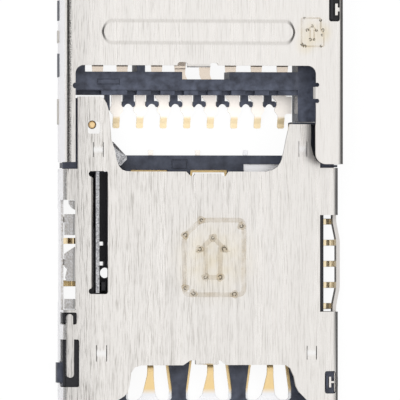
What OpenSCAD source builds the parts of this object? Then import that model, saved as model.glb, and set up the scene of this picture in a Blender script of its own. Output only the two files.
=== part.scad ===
// Stacked surface-mount socket: a nano SIM card below, a small memory card above.
// Millimetres, +Z up from the board, +Y the way the cards go in, +X to the right.

/* [Overall] */
// Width over the folded side walls
body_width = 11.7; // [11.6:0.05:11.9]
// Sideways offset of the covers from the middle of the tail row
cover_offset = -0.1; // [-0.12:0.01:-0.08]
// Length from the mouth to the end wall
body_length = 21.2; // [21:0.1:21.6]
// Sheet thickness of both shells
sheet = 0.15; // [0.12:0.01:0.18]
// Outer radius of the folded edges
fold_radius = 0.26; // [0.22:0.02:0.3]
// Free gap between pieces that stand side by side
gap = 0.03; // [0.02:0.01:0.05]
// How far the left peg stands out past the wall
peg_reach = 0.17; // [0.12:0.01:0.24]

/* [Levels] */
// Thickness of the moulded floor
floor_thick = 0.32; // [0.3:0.01:0.36]
// Clear height for the SIM card
sim_height = 0.78; // [0.76:0.02:0.86]
// Clear height for the memory card
card_height = 0.9; // [0.86:0.02:1]

/* [SIM springs] */
// Centre line of the SIM card
sim_offset = 0.4; // [0.36:0.02:0.44]
// Distance between spring columns
sim_pitch = 2.54; // [2.5:0.02:2.58]
// Distance between spring rows
row_spacing = 7.62; // [7.58:0.02:7.66]
// Where the front row touches the card
front_row = -0.28; // [-0.32:0.02:-0.24]
// Thickness of the contact strip
strip_thick = 0.1; // [0.08:0.01:0.12]
// Height of the contact strip above the board
strip_level = 0.11; // [0.09:0.01:0.12]
// Height of the spring crest above the floor
sim_crest = 0.36; // [0.3:0.02:0.42]
// Distance between side tails
tail_pitch = 0.885; // [0.86:0.005:0.9]
// First tail on the right side
right_tail = -1.74; // [-1.78:0.02:-1.7]
// First tail on the left side
left_tail = -1.65; // [-1.7:0.02:-1.6]
// Width of the side tails
side_tail_width = 0.25; // [0.2:0.01:0.28]

/* [Memory card springs] */
// Distance between tails in the open window
card_tail_pitch = 1; // [0.96:0.01:1.04]
// Distance between spring tips
card_tip_pitch = 1.1; // [1.08:0.01:1.12]
// Height of the leads in the bar
lead_level = 0.12; // [0.1:0.01:0.14]
// Height of the spring crest above the lower shell
card_crest = 0.38; // [0.3:0.02:0.46]
// Width of the narrow tail ends
card_tail_width = 0.28; // [0.24:0.01:0.32]

/* [Covers] */
// Lower edge of the upper shell's plate
plate_edge = 4.75; // [4.7:0.01:4.8]
// Lower end of the upper shell's side strips
strip_end = 0.66; // [0.64:0.01:0.7]
// Upper edge of the lower shell's plate
lower_edge = 0.35; // [0.33:0.01:0.4]
// Mouth edge of the lower shell's plate
mouth_edge = -7.71; // [-7.74:0.01:-7.68]
// Height of the raised bead
bead_height = 0.08; // [0.05:0.01:0.1]
// Width of the raised bead
bead_width = 0.875; // [0.8:0.025:0.95]
// Depth of the pressed lances
lance_depth = 0.04; // [0.03:0.01:0.06]

/* [Detect switch] */
// Distance of the switch arm from the left wall
arm_inset = 1.52; // [1.5:0.01:1.54]
// Thickness of the switch arm
arm_thick = 0.15; // [0.12:0.01:0.16]
// Radius of the contact post
post_radius = 0.15; // [0.13:0.01:0.16]

/* [Hidden] */
$fn = 48;
hw = body_width / 2;
hl = body_length / 2;
lx = cover_offset - hw;
rx = cover_offset + hw;
li = lx + sheet + gap;
ri = rx - sheet - gap;
z1 = floor_thick + sim_height;
z2 = z1 + sheet;
z3 = z2 + card_height;
z4 = z3 + sheet;
zm = z1 + sheet / 2;
zu = z3 + sheet / 2;
wall_top = z1 - gap;
mouth = -hl + 0.2;
left_face = lx + 0.75;
right_face = rx - 0.62;
left_foot = -lx - 0.21;
right_foot = rx + 0.12;
bow = rx + 0.155;
middle = (lx - peg_reach + bow) / 2;
left_top = lower_edge + 0.11;
right_top = lower_edge + 0.16;
arm_line = lx + arm_inset;
strip_mid = strip_level + strip_thick / 2;
foot_mid = strip_thick / 2;
lead_mid = lead_level + strip_thick / 2;
card_sill = z2 - 0.02;
post = [lx + 1.25, 2.29];
beam_root = [-4.3, -3.26, -1.8, -0.81, 0.24, 1.34, 2.44, 3.55];
beam_last = 3.36;
row_clear = 0.48;
row_start = min(lx + 0.95, beam_root[0] - 0.24 - gap * 2);
row_end = max(rx - 1.75, (8 - 4.5) * card_tail_pitch + row_clear);
bead_left = lx + 1.45;
bead_right = rx - 2.06;
bar_tab = [-2.05, -0.06, 1.97];
left_arm = [
    [lx + 0.64, lower_edge - 0.3], [lx + 0.64, 3.46], [-4.4, 3.47], [-4.32, 3.45], [-4.21, 3.36], [-4.1, 3.2],
    [-4.04, 3], [-3.98, 2.75], [-3.94, 2.3], [-3.89, 1.67], [-3.76, 1.25], [-3.67, 0.83], [-3.59, 0.62],
    [-3.54, 0.53], [-3.44, 0.43], [-3.28, 0.37], [-3, lower_edge], [-3, lower_edge - 0.3]
];
right_arm = [
    [2.66, lower_edge - 0.3], [2.66, lower_edge], [2.91, 0.41], [3.12, 0.54], [3.25, 0.71], [3.34, 0.92],
    [3.42, 1.25], [3.5, 1.67], [3.65, 2.33], [rx - 1.19, 2.33], [rx - 1.19, 1.46], [rx - 1.1, 1.08],
    [rx - 0.95, 0.81], [rx - 0.8, 0.7], [rx - 0.8, lower_edge - 0.3]
];
// Edge of the lower shell at the lip over the crossbar
lip_notch = [
    [-0.73, lower_edge + 1], [-0.73, lower_edge], [-0.54, lower_edge - 0.19], [-0.42, lower_edge - 0.19],
    [-0.36, lower_edge - 0.08], [0.76, lower_edge - 0.08], [0.82, lower_edge - 0.19],
    [0.93, lower_edge - 0.19], [1.05, lower_edge], [1.05, lower_edge + 1]
];
// Corners of the pressed lances
lances = [
    [[lx + 1.28, 0.95], [lx + 1.73, 1.57]], [[rx - 1.72, 0.97], [rx - 1.35, 1.62]],
    [[lx + 1.41, -7.54], [lx + 1.87, -6.86]], [[rx - 1.37, -7.5], [rx - 0.94, -6.92]]
];
mouth_cut = [
    [-2.64, mouth_edge], [-2.9, mouth_edge - 0.08], [-3.06, mouth_edge - 0.3], [-3.12, -8.5], [-3.18, -8.75],
    [-3.34, -8.98], [-3.7, -9.2], [-4.1, -9.5], [-4.25, -9.9], [-4.25, mouth - 1], [4.85, mouth - 1],
    [4.85, -9.9], [4.72, -9.55], [4.4, -9.2], [4.05, -8.85], [3.92, -8.6], [3.84, -8.2],
    [3.68, mouth_edge - 0.14], [3.5, mouth_edge - 0.02], [3.25, mouth_edge]
];

function unit(v) = v / norm(v);
function side(v) = [-v[1], v[0]];
function turn(p, i) =
    let (
        n = len(p),
        a = side(unit(p[max(i, 1)] - p[max(i, 1) - 1])),
        b = side(unit(p[min(i, n - 2) + 1] - p[min(i, n - 2)])),
        m = unit(a + b)
    ) m / (m * a);
// Outline of a bent strip of thickness t about a centre path.
function ribbon(p, t) = concat(
    [for (i = [0 : len(p) - 1]) p[i] + turn(p, i) * t / 2],
    [for (i = [len(p) - 1 : -1 : 0]) p[i] - turn(p, i) * t / 2]
);
function mix(a, b, s) = a * (1 - s) + b * s;
function curve(a, b, c, s) = mix(mix(a, b, s), mix(b, c, s), s);
// The same path with its corners eased over the distance d.
function ease(p, d) = concat(
    [p[0]],
    [for (i = [1 : len(p) - 2]) for (s = [0 : 0.25 : 1])
        curve(p[i] + unit(p[i - 1] - p[i]) * d, p[i], p[i] + unit(p[i + 1] - p[i]) * d, s)],
    [p[len(p) - 1]]
);
function column(n) = sim_offset + ((n - 1) % 3 - 1) * sim_pitch;
function touch(n) = front_row - floor((n - 1) / 3) * row_spacing;
function right_y(k) = right_tail - k * tail_pitch;
function left_y(k) = left_tail - k * tail_pitch;
function card_tail(n) = (n - 4.5) * card_tail_pitch;
function card_tip(n) = beam_last - (8 - n) * card_tip_pitch;

// Moves a piece so that the outline of the whole socket is centred.
module centred() {
    translate([-middle, 0, 0]) children();
}

// A box by two corners.
module block(a, b) {
    translate(a) cube(b - a);
}

// A flat rectangle by two corners.
module patch(a, b) {
    translate(a) square(b - a);
}

// A flat rectangle with rounded corners.
module round_patch(a, b, r) {
    patch(a + [r, 0], b - [r, 0]);
    patch(a + [0, r], b - [0, r]);
    for (x = [a[0] + r, b[0] - r], y = [a[1] + r, b[1] - r]) {
        translate([x, y]) circle(r);
    }
}

// A flat shape cut or grown straight up between two levels.
module rise(low, high) {
    translate([0, 0, low]) linear_extrude(high - low) children();
}

// A strip bent in the YZ plane, of width w about x.
module strip_yz(x, path, t, w) {
    translate([x - w / 2, 0, 0]) rotate([90, 0, 90]) linear_extrude(w) polygon(ribbon(path, t));
}

// A strip bent in the XZ plane, from y0 to y1.
module strip_xz(y0, y1, path, t) {
    translate([0, y1, 0]) rotate([90, 0, 0]) linear_extrude(y1 - y0) polygon(ribbon(path, t));
}

module arch(w, top, r) {
    patch([-w / 2, 0], [w / 2, top - r]);
    patch([-w / 2 + r, 0], [w / 2 - r, top]);
    for (x = [-w / 2 + r, w / 2 - r]) {
        translate([x, top - r]) circle(r);
    }
}

// Folded sheet: a plate at the given top level with both side walls.
module folded(y0, y1, top) {
    translate([cover_offset, y1, 0]) rotate([90, 0, 0]) linear_extrude(y1 - y0) difference() {
        arch(body_width, top, fold_radius);
        translate([0, -1]) arch(body_width - 2 * sheet, top - sheet + 1, fold_radius - sheet);
    }
}

// A long bump with rounded ends and sloping sides.
module bump(x0, x1, y, low, high, w) {
    r = w / 2;
    s = (high - low) * 1.4;
    for (x = [x0 + r, x1 - r]) {
        translate([x, y, low]) cylinder(h = high - low, r1 = r, r2 = r - s);
    }
    translate([x0 + r, y, low]) rotate([90, 0, 90]) linear_extrude(x1 - x0 - w)
        polygon([[-r, 0], [r, 0], [r - s, high - low], [-r + s, high - low]]);
}

// Slot for a lance, and the pressed strip that fills it.
module lance_slot(a, b) {
    rise(z1 - 0.1, z2 + 0.1) patch(a, b);
}

module lance_strip(a, b) {
    e = 0.03;
    path = [for (k = [0 : 12]) [
        mix(a[1] - 0.01, b[1] + 0.01, k / 12), zm - lance_depth * (1 - cos(k * 30)) / 2
    ]];
    strip_yz((a[0] + b[0]) / 2, path, sheet, b[0] - a[0] - 2 * e);
}

// A shallow frame line sunk from the level z.
module frame_line(a, b, z) {
    rise(z - 0.04, z + 1) difference() {
        patch(a, b);
        patch(a + [0.05, 0.05], b - [0.05, 0.05]);
    }
}

// Side tail from a wall face, bent down to the board; s is the side, grow widens it for its pocket.
module side_tail(s, y, face, level, foot_end, grow) {
    step = s > 0 ? 0.31 : 0.2;
    path = [
        [s * (abs(face) - 0.2), level], [s * (abs(face) + step), level],
        [s * (abs(face) + step + 0.1), foot_mid], [s * foot_end, foot_mid]
    ];
    strip_xz(y - side_tail_width / 2 - grow, y + side_tail_width / 2 + grow, ease(path, 0.05), strip_thick);
}

// Flat window around one SIM spring, widened by grow.
module sim_window(n, grow) {
    x = column(n);
    y = touch(n);
    polygon([
        [x - 0.675 - grow, y + 0.6 + grow], [x - 0.875 - grow, y - 0.85], [x - 0.875 - grow, y - 1.22],
        [x - 0.79, y - 1.3 - grow], [x + 0.79, y - 1.3 - grow], [x + 0.875 + grow, y - 1.22],
        [x + 0.875 + grow, y - 0.85], [x + 0.675 + grow, y + 0.6 + grow]
    ]);
}

// Flat lead of one SIM spring between its frame and its tail.
module sim_lead(n) {
    w = side_tail_width;
    x = column(n);
    low = touch(n) - 1.7;
    high = touch(n) + 0.8;
    out = right_face - 0.05;
    if (n == 1) {
        patch([x - w / 2, right_y(2) - w / 2], [x + w / 2, low]);
        patch([x - w / 2, right_y(2) - w / 2], [out, right_y(2) + w / 2]);
    }
    if (n == 2) {
        patch([x - w / 2, right_y(1) - w / 2], [x + w / 2, low]);
        patch([x - w / 2, right_y(1) - w / 2], [out, right_y(1) + w / 2]);
    }
    if (n == 3) {
        patch([x + 1, right_y(0) - w / 2], [out, right_y(0) + w / 2]);
    }
    if (n == 4) {
        patch([x - w / 2, high], [x + w / 2, left_y(3) + w / 2]);
        patch([left_face + 0.05, left_y(3) - w / 2], [x + w / 2, left_y(3) + w / 2]);
    }
    if (n == 5) {
        patch([x - w / 2, high], [x + w / 2, right_y(3) + w / 2]);
        patch([x - w / 2, right_y(3) - w / 2], [out, right_y(3) + w / 2]);
    }
    if (n == 6) {
        patch([x + 0.5, high], [x + 0.5 + w, right_y(4) + w / 2]);
        patch([x + 0.5, right_y(4) - w / 2], [out, right_y(4) + w / 2]);
    }
}

// Flat outline of one SIM spring's frame with its lead and, in the front row, the tab under the crossbar.
module sim_outline(n) {
    patch([column(n) - 1.05, touch(n) - 1.75], [column(n) + 1.05, touch(n) + (n == 3 ? 0.95 : 0.85)]);
    if (n <= 3) {
        patch([bar_tab[n - 1] - 0.1, touch(n) + 0.7], [bar_tab[n - 1] + 0.1, 1.25]);
    }
    sim_lead(n);
}

module sim_plate(n) {
    difference() {
        sim_outline(n);
        sim_window(n, 0);
    }
}

// Room for one SIM spring in the floor.
module sim_pocket(n) {
    rise(strip_level, strip_level + strip_thick) sim_outline(n);
    rise(-0.1, strip_level + strip_thick / 2) sim_window(n, 0.02);
    rise(strip_level + strip_thick / 2, floor_thick + 0.1) sim_window(n, 0.1);
}

module sim_contact(n) {
    x = column(n);
    y = touch(n);
    crest = floor_thick + sim_crest - strip_thick / 2;
    path = ease([
        [y - 1.55, strip_mid], [y - 1.15, strip_mid], [y - 0.14, crest], [y + 0.1, crest], [y + 0.3, crest - 0.16]
    ], 0.09);
    centred() color([0.85, 0.72, 0.45]) {
        rise(strip_level, strip_level + strip_thick) sim_plate(n);
        intersection() {
            strip_yz(x, path, strip_thick, 1.3);
            rise(0, z1) polygon([
                [x - 0.56, y - 1.55], [x + 0.56, y - 1.55], [x + 0.56, y - 1.33], [x + 0.4, y - 1.22],
                [x + 0.29, y - 1.08], [x + 0.24, y - 0.88], [x + 0.14, y - 0.25], [x + 0.12, y + 0.5],
                [x - 0.12, y + 0.5], [x - 0.14, y - 0.25], [x - 0.24, y - 0.88], [x - 0.29, y - 1.08],
                [x - 0.4, y - 1.22], [x - 0.56, y - 1.33]
            ]);
        }
        if (n == 4) {
            side_tail(-1, left_y(3), left_face, strip_mid, left_foot, 0);
        } else {
            side_tail(1, right_y([2, 1, 0, 0, 3, 4][n - 1]), right_face, strip_mid, right_foot, 0);
        }
    }
}

module sim_contact_1() {
    sim_contact(1);
}

module sim_contact_2() {
    sim_contact(2);
}

module sim_contact_3() {
    sim_contact(3);
}

module sim_contact_4() {
    sim_contact(4);
}

module sim_contact_5() {
    sim_contact(5);
}

module sim_contact_6() {
    sim_contact(6);
}

// Flat lead of the detect contact in the floor.
module detect_lead() {
    translate(post) circle(post_radius + 0.05);
    patch([post[0] - 0.2, left_y(0) - side_tail_width / 2], [post[0] + 0.05, post[1]]);
    patch([left_face + 0.05, left_y(0) - side_tail_width / 2], [post[0], left_y(0) + side_tail_width / 2]);
}

module detect_contact() {
    top = z2 - 0.02;
    centred() color([0.85, 0.6, 0.25]) {
        rise(strip_level, strip_level + strip_thick) detect_lead();
        translate([post[0], post[1], strip_level]) cylinder(h = top - 0.06 - strip_level, r = post_radius);
        translate([post[0], post[1], top - 0.06]) cylinder(h = 0.06, r1 = post_radius, r2 = post_radius - 0.05);
        side_tail(-1, left_y(0), left_face, strip_mid, left_foot, 0);
    }
}

// Flat end of the switch arm that meets the cut corner of the SIM card, with a sloping far edge.
module arm_flag(high) {
    rise(high - arm_thick, high) polygon([
        [arm_line, 1.7], [-3.95, 1.42], [-3.95, 1.05], [arm_line, 1.25]
    ]);
    difference() {
        hull() {
            rise(high - arm_thick, high - arm_thick + 0.01)
                polygon([[-4.05, 1.72], [-3.73, 1.57], [-3.17, 0.98], [-3.16, 0.87], [-3.46, 0.57], [-4.05, 1]]);
            rise(high - 0.01, high)
                polygon([[-4.05, 1.42], [-3.74, 1.36], [-3.21, 0.96], [-3.18, 0.87], [-3.46, 0.59], [-4.05, 1]]);
        }
        rise(high - arm_thick + 0.03, high + 1) polygon(ribbon([[-3.1, 1.14], [-3.68, 0.56]], 0.06));
    }
}

module detect_arm() {
    low = floor_thick + 0.06;
    high = wall_top - 0.1;
    centred() color([0.8, 0.8, 0.8]) {
        rise(low, high) patch([arm_line - arm_thick / 2, -4.7], [arm_line + arm_thick / 2, 2.5]);
        arm_flag(high);
        for (k = [1, 2]) {
            rise(low, low + strip_thick)
                patch([left_face + 0.05, left_y(k) - side_tail_width / 2], [arm_line, left_y(k) + side_tail_width / 2]);
            side_tail(-1, left_y(k), left_face, low + strip_thick / 2, left_foot, 0);
        }
    }
}

module base_solid() {
    difference() {
        union() {
            block([li, -hl, 0], [ri, lower_edge, floor_thick]);
            block([-3.4, lower_edge - 0.1, 0], [3.6, 1.03, floor_thick]);
            block([li, lower_edge - 0.1, 0], [-4.05, 3.4, floor_thick]);
            block([3.83, lower_edge - 0.1, 0], [ri, 2.4, floor_thick]);
            block([rx - 0.89, mouth + 0.1, 0], [ri, 2.28, wall_top]);
            block([li, mouth + 0.1, 0], [lx + 1.88, -5.1, wall_top]);
            block([li, -5.2, 0], [arm_line - arm_thick / 2 - gap, -2, wall_top]);
            block([li, -2.1, 0], [lx + 0.92, 3.4, wall_top]);
            block([lx + 1.7, -4.6, 0], [lx + 1.88, -4.25, wall_top - 0.2]);
            // Lugs in the openings beside the tongue
            block([lx + 0.04, -5.94, 0.62], [li + 0.1, -5.54, wall_top - 0.06]);
            block([lx + 0.04, -8.56, 0.62], [li + 0.1, -6.66, wall_top - 0.06]);
            // Lugs between the side walls of both covers
            block([ri - 0.2, right_top + gap, 0.3], [rx - 0.03, strip_end - gap, wall_top]);
            block([lx + 0.03, left_top + gap, 0.3], [li + 0.2, strip_end + 0.08 - gap, wall_top]);
        }
        rise(-0.1, z1) patch([lx - 1, -5.4], [left_face, -0.83]);
        rise(-0.1, z1) patch([right_face, -5.5], [rx + 1, -1.46]);
        translate([-4, -3.87, -0.1]) cylinder(h = z1, r = 0.22);
        for (y = [-2.65, -3.48]) {
            block([-4.24, y - 0.08, -0.1], [-4.05, y + 0.08, z1]);
        }
        frame_line([-1.2, 0.45], [-0.52, 0.86], floor_thick);
        // Room under the folded flange and under the left lance
        rise(wall_top - 0.27, z1) patch([lx + 1, -4.7], [arm_line, 0.3]);
        rise(wall_top - 0.12, z1) patch([lx + 1.3, -7.65], [lx + 2, -6.75]);
        // The crossbar is thin above the right spring
        rise(strip_level + strip_thick, z1) patch([bar_tab[2] - 0.1, lower_edge - 0.3], [3.7, touch(3) + 0.95]);
    }
}

module base_housing() {
    centred() color([0.13, 0.14, 0.17]) {
        difference() {
            base_solid();
            for (n = [1 : 6]) {
                sim_pocket(n);
            }
            rise(strip_level, strip_level + strip_thick) detect_lead();
            translate([post[0], post[1], strip_level + strip_thick]) cylinder(h = z1, r = post_radius + 0.09);
            for (k = [1, 2]) {
                rise(floor_thick - gap, floor_thick + 0.06 + strip_thick + gap) patch(
                    [left_face - 0.1, left_y(k) - side_tail_width / 2 - gap],
                    [arm_line, left_y(k) + side_tail_width / 2 + gap]
                );
            }
            for (n = [0 : 4]) {
                side_tail(1, right_y(n), right_face, strip_mid, right_foot, 0);
            }
            for (k = [0, 3]) {
                side_tail(-1, left_y(k), left_face, strip_mid, left_foot, 0);
            }
        }
        block([lx - peg_reach, -8.42, 0.5], [li + 0.2, -7.58, 0.9]);
        block([ri - 0.2, -8.64, 0.5], [rx + 0.03, -8.24, 0.9]);
        block([rx - 0.54, -8.72, 0.5], [rx - 0.46, -8.16, z2]);
    }
}

// Slot around a tongue of width w that starts at y0 and ends at y1.
module tongue_slot(y0, y1, w, tip, edge) {
    difference() {
        round_patch([lx - 1, min(y0, y1)], [lx + edge, max(y0, y1)], 0.08);
        hull() {
            translate([lx + sheet + 0.02 + w / 2, tip]) circle(w / 2);
            translate([lx + sheet + 0.02 + w / 2, y0 + sign(y0 - y1)]) circle(w / 2);
        }
    }
}

module lower_shell_cuts() {
    // Mouth and the notches beside both lips
    rise(z1 - 1, z2 + 1) {
        polygon(mouth_cut);
        polygon(lip_notch);
        polygon([
            [-0.86, mouth_edge - 1], [-0.86, mouth_edge], [-0.56, mouth_edge + 0.2], [0.7, mouth_edge + 0.2],
            [0.98, mouth_edge], [0.98, mouth_edge - 1]
        ]);
    }
    // Long slot with relief ears
    rise(z1 - 0.4, z2 + 1) {
        round_patch([lx + 1.21, -4.74], [lx + 1.91, 0.37], 0.1);
        for (y = [-4.62, 0.25]) {
            translate([lx + 1.22, y]) circle(0.12);
        }
    }
    // Side windows
    block([rx - 0.805, -5.5, 0.72], [rx + 1, -1.46, z2 + 1]);
    block([rx - 0.4, -5.5, -1], [rx + 1, -1.46, z2 + 1]);
    block([lx - 1, -5.4, 0.55], [lx + 0.556, -0.83, z2 + 1]);
    block([lx - 1, -5.1, -1], [lx + 0.3, -1.2, 0.16]);
    // Slots around both ends of the tongue, and openings for the pegs
    rise(0.58, z2 + 1) {
        tongue_slot(-6, -5.5, 0.27, -5.7, 0.6);
        tongue_slot(-6.62, -8.6, 0.31, -8.05, 0.7);
    }
    block([lx - 1, -8.47, 0.45], [lx + 0.3, -7.53, 0.95]);
    block([rx - 0.3, -8.69, 0.45], [rx + 1, -8.19, 0.95]);
    // Hold-down window on the right
    difference() {
        rise(z1 - 0.1, z2 + 1) round_patch([rx - 0.6, -8.92], [rx - 0.13, -7.98], 0.1);
        rise(z1 - 0.2, z2 + 2) patch([rx - 0.36, -8.48], [rx + 0.1, -8.4]);
        rise(z1 - 0.2, z2 + 2) patch([rx - 0.42, -8.66], [rx - 0.33, -8.22]);
    }
    // Pressed pocket over the contact post
    rise(z2 - 0.05, z2 + 1) round_patch([lx + 1.065, 1.92], [lx + 1.595, 2.425], 0.1);
    translate([post[0], post[1], z1 - 0.2]) cylinder(h = 1, r = post_radius + 0.025);
    for (l = lances) {
        lance_slot(l[0], l[1]);
    }
}

module lower_shell() {
    tab = ease([[lx + 0.67, zm], [lx + 0.54, zm], [lx + 0.2, zm - 0.42]], 0.06);
    centred() color([0.78, 0.78, 0.76]) {
        difference() {
            union() {
                folded(mouth, lower_edge, z2);
                intersection() {
                    folded(mouth, left_top, z2);
                    rise(-1, z2 + 1) patch([lx - 1, -3], [lx + 0.8, left_top + 1]);
                }
                intersection() {
                    folded(mouth, right_top, z2);
                    rise(-1, z2 + 1) patch([rx - 1, -1], [rx + 1, right_top + 1]);
                }
                rise(z1, z2) polygon(left_arm);
                rise(z1, z2) polygon(right_arm);
            }
            lower_shell_cuts();
        }
        for (l = lances) {
            lance_strip(l[0], l[1]);
        }
        // Lip at the mouth
        strip_yz(0.15, ease([
            [mouth_edge + 0.24, zm], [mouth_edge + 0.14, zm], [mouth_edge + 0.04, zm + 0.04]
        ], 0.04), sheet, 0.98);
        // Flange folded down along the slot
        strip_xz(-4.45, 0.1, ease([[lx + 1.11, zm], [lx + 1.21, zm], [lx + 1.27, zm - 0.24]], 0.05), sheet);
        // Sloping tabs in the left window
        strip_xz(-2.29, -1.42, tab, sheet);
        strip_xz(-5.36, -4.94, tab, sheet);
        intersection() {
            strip_xz(-1.4, -0.85, tab, sheet);
            rise(0, z2 + 1) polygon([
                [lx + 0.8, -0.8], [lx + 0.32, -0.8], [lx + 0.33, -1], [lx + 0.42, -1.16], [lx + 0.55, -1.25],
                [lx + 0.8, -1.25]
            ]);
        }
        intersection() {
            strip_xz(-4.2, -2.75, tab, sheet);
            rise(0, z2 + 1) polygon([
                [lx + 0.8, -2.75], [lx + 0.57, -2.75], [lx + 0.1, -3.1], [lx + 0.1, -3.55], [lx + 0.27, -3.72],
                [lx + 0.18, -4.05], [lx + 0.25, -4.2], [lx + 0.8, -4.2]
            ]);
        }
        // Bowed strip across the right window
        rise(0.28, 0.68) polygon(ribbon(ease([
            [rx - sheet / 2, -1.44], [rx - sheet / 2, -1.75], [bow - sheet / 2, -2.5], [bow - sheet / 2, -4.5],
            [rx - sheet / 2, -5.25], [rx - sheet / 2, -5.52]
        ], 0.15), sheet));
    }
}

// Bar, side blocks and end wall that carry the memory card springs.
module card_solid() {
    difference() {
        union() {
            block([li, 3.54, 0], [ri, 4.5, card_sill]);
            block([li, 4.4, 0], [row_start, hl - 0.2, card_sill]);
            block([row_end, 4.4, 0], [ri, hl - 0.2, card_sill]);
            block([row_end, 2.43, 0], [ri, 3.6, card_sill]);
            block([row_end + 0.35, 5, 0], [ri, hl - 0.2, z3 - gap]);
            block([li, hl - 0.34, 0], [ri, hl, z3 - gap]);
            block([li, 8.1, 0], [ri, hl - 0.2, 0.62]);
            block([-2.81, 4.4, 0], [-2.47, 8.2, 0.62]);
            block([-2.81, 4.4, 0], [-2.47, 5.1, card_sill]);
        }
        rise(-0.1, z3) patch([-0.9, 4.19], [1.1, 4.6]);
        frame_line([-4.5, 3.96], [-3.53, 4.22], card_sill);
        // Stepped lower edge of the bar, deeper between the leads
        rise(card_sill - 0.12, z3) patch([lx + 0.6, 3.5], [row_end, 3.75]);
        rise(card_sill - 0.5, z3) patch([lx + 0.6, 3.5], [-4.3, 3.72]);
        for (n = [1 : 7]) {
            x = (card_tail(n) + card_tail(n + 1)) / 2;
            rise(card_sill - 0.5, z3) patch([x - 0.2, 3.5], [x + 0.2, 3.72]);
        }
        for (x = [-3.6 : 1.8 : 3.6]) {
            rise(-0.1, z3) patch([x - 0.6, 8.6], [x + 0.6, 9.8]);
        }
    }
}

// Teeth between the tails, each with an arched end; most reach round a lobe of the next shoulder.
module comb() {
    rise(0, lead_level + strip_thick + 0.08) {
        patch([card_tail(1) - 0.5, 3.1], [card_tail(1) - 0.3, 3.6]);
        polygon([[card_tail(1) - 0.5, 3.12], [card_tail(1) - 0.3, 2.9], [card_tail(1) - 0.3, 3.12]]);
        for (n = [1 : 7]) {
            x = (card_tail(n) + card_tail(n + 1)) / 2;
            difference() {
                union() {
                    patch([x - 0.22, 3.2], [x + (n == 1 ? 0.22 : 0.08), 3.6]);
                    round_patch([x - 0.27, 3.04], [x + 0.27, 3.3], 0.1);
                }
                translate([x, 2.98]) circle(0.2);
                if (n > 1) {
                    polygon([[x + 0.12, 3.38], [x + 0.34, 3.17], [x + 0.34, 3.38]]);
                }
            }
        }
    }
}

// Flat lead of one memory card spring inside the bar.
module card_lead(n) {
    x = beam_root[n - 1];
    t = card_tail(n);
    polygon([[x - 0.22, 4.6], [x + 0.22, 4.6], [x + 0.22, 4.4], [t + 0.21, 3.7], [t + 0.21, 3.5], [t - 0.21, 3.5],
        [t - 0.21, 3.7], [x - 0.22, 4.4]]);
}

module card_contact(n) {
    x = beam_root[n - 1];
    tip = card_tip(n);
    t = card_tail(n);
    w = card_tail_width / 2;
    crest = z2 + card_crest - strip_thick / 2;
    centred() color([0.86, 0.8, 0.66]) {
        rise(lead_level, lead_level + strip_thick) {
            card_lead(n);
            polygon([
                [t - 0.21, 3.6], [t - 0.21, 3.12], [t - 0.28, 3], [t - 0.28, 2.88], [t - w, 2.7], [t - w, 2.6],
                [t + w, 2.6], [t + w, 2.7], [t + 0.28, 2.88], [t + 0.28, 3], [t + 0.21, 3.12], [t + 0.21, 3.6]
            ]);
            if (n > 2) {
                polygon([[t - 0.15, 3.53], [t - 0.36, 3.53], [t - 0.36, 3.43], [t - 0.15, 3.23]]);
            }
            if (n == 8) {
                patch([t, 2.78], [t + 0.44, 3.5]);
            }
        }
        strip_yz(t, ease([[2.7, lead_mid], [2.6, lead_mid], [2.36, foot_mid], [2.26, foot_mid]], 0.05),
            strip_thick, card_tail_width);
        rise(0, strip_thick) {
            patch([t - w, 2.22], [t + w, 2.32]);
            round_patch([t - w, 2.16], [t + w, 2.32], 0.07);
        }
        intersection() {
            strip_yz((x + tip) / 2, ease([
                [4.55, lead_mid], [4.8, lead_mid], [7.1, crest], [7.5, crest], [7.8, crest - 0.18]
            ], 0.12), strip_thick, 3);
            rise(0, z3) polygon([
                [x - 0.22, 4.5], [x + 0.22, 4.5], [x + 0.24, 4.8], [tip + 0.2, 7], [tip + 0.16, 8],
                [tip - 0.16, 8], [tip - 0.2, 7], [x - 0.24, 4.8]
            ]);
        }
    }
}

module card_contact_1() {
    card_contact(1);
}

module card_contact_2() {
    card_contact(2);
}

module card_contact_3() {
    card_contact(3);
}

module card_contact_4() {
    card_contact(4);
}

module card_contact_5() {
    card_contact(5);
}

module card_contact_6() {
    card_contact(6);
}

module card_contact_7() {
    card_contact(7);
}

module card_contact_8() {
    card_contact(8);
}

module card_housing() {
    centred() color([0.13, 0.14, 0.17]) difference() {
        union() {
            card_solid();
            comb();
            // Peg in the hold-down window
            block([rx - 0.575, 6.68, z3 - 0.3], [rx - 0.455, 7.52, z4]);
        }
        rise(lead_level, lead_level + strip_thick) {
            for (n = [1 : 8]) {
                card_lead(n);
            }
        }
    }
}

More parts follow.
